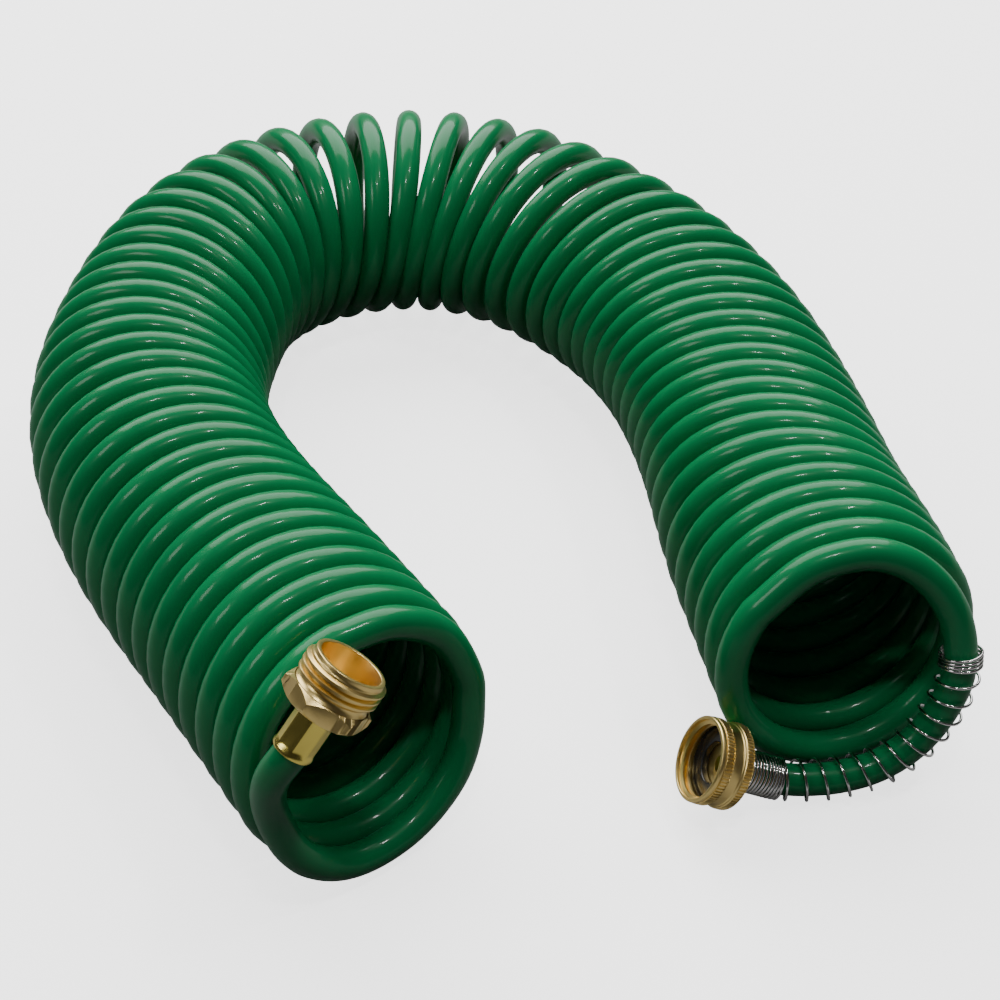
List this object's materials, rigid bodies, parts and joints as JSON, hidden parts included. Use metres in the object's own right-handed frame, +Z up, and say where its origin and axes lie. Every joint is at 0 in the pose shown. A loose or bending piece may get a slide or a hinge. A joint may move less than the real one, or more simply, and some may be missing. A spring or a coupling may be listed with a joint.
{
  "type": "coiled garden hose",
  "caption": "Green garden hose wound as a long coil that lies bent in a horseshoe, with a brass male coupling on one end and a brass swivel nut behind a steel spring on the other.",
  "frame": {"origin": "on the floor under the middle of the bounding box, with the hose lying as it rests", "axes": "+Z up, +Y along the longest extent, from the two couplings towards the far bend of the coil, +X across the two limbs towards the end with the swivel nut"},
  "size_m": [0.3571, 0.4436, 0.1132],
  "materials": {
    "hose_green": "glossy soft green plastic",
    "brass": "bright machined brass",
    "ferrule_brass": "bright yellow pressed brass",
    "spring_steel": "bright plated steel wire",
    "washer_rubber": "matte black rubber"
  },
  "bodies": {
    "hose": {"hose_coil": "hose_green", "hose_end_male": "hose_green", "hose_end_female": "hose_green", "male_ferrule": "ferrule_brass", "male_fitting": "brass", "swivel_stem": "brass", "strain_relief_spring": "spring_steel"},
    "nut": {"swivel_nut": "brass", "washer": "washer_rubber"}
  },
  "joints": [
    {"name": "nut_swivel", "type": "hinge", "parent": "hose", "child": "nut", "pos_m": [0.0923, -0.1623, 0.0182], "axis": [-0.8832, -0.138, 0.4481], "continuous": true}
  ]
}
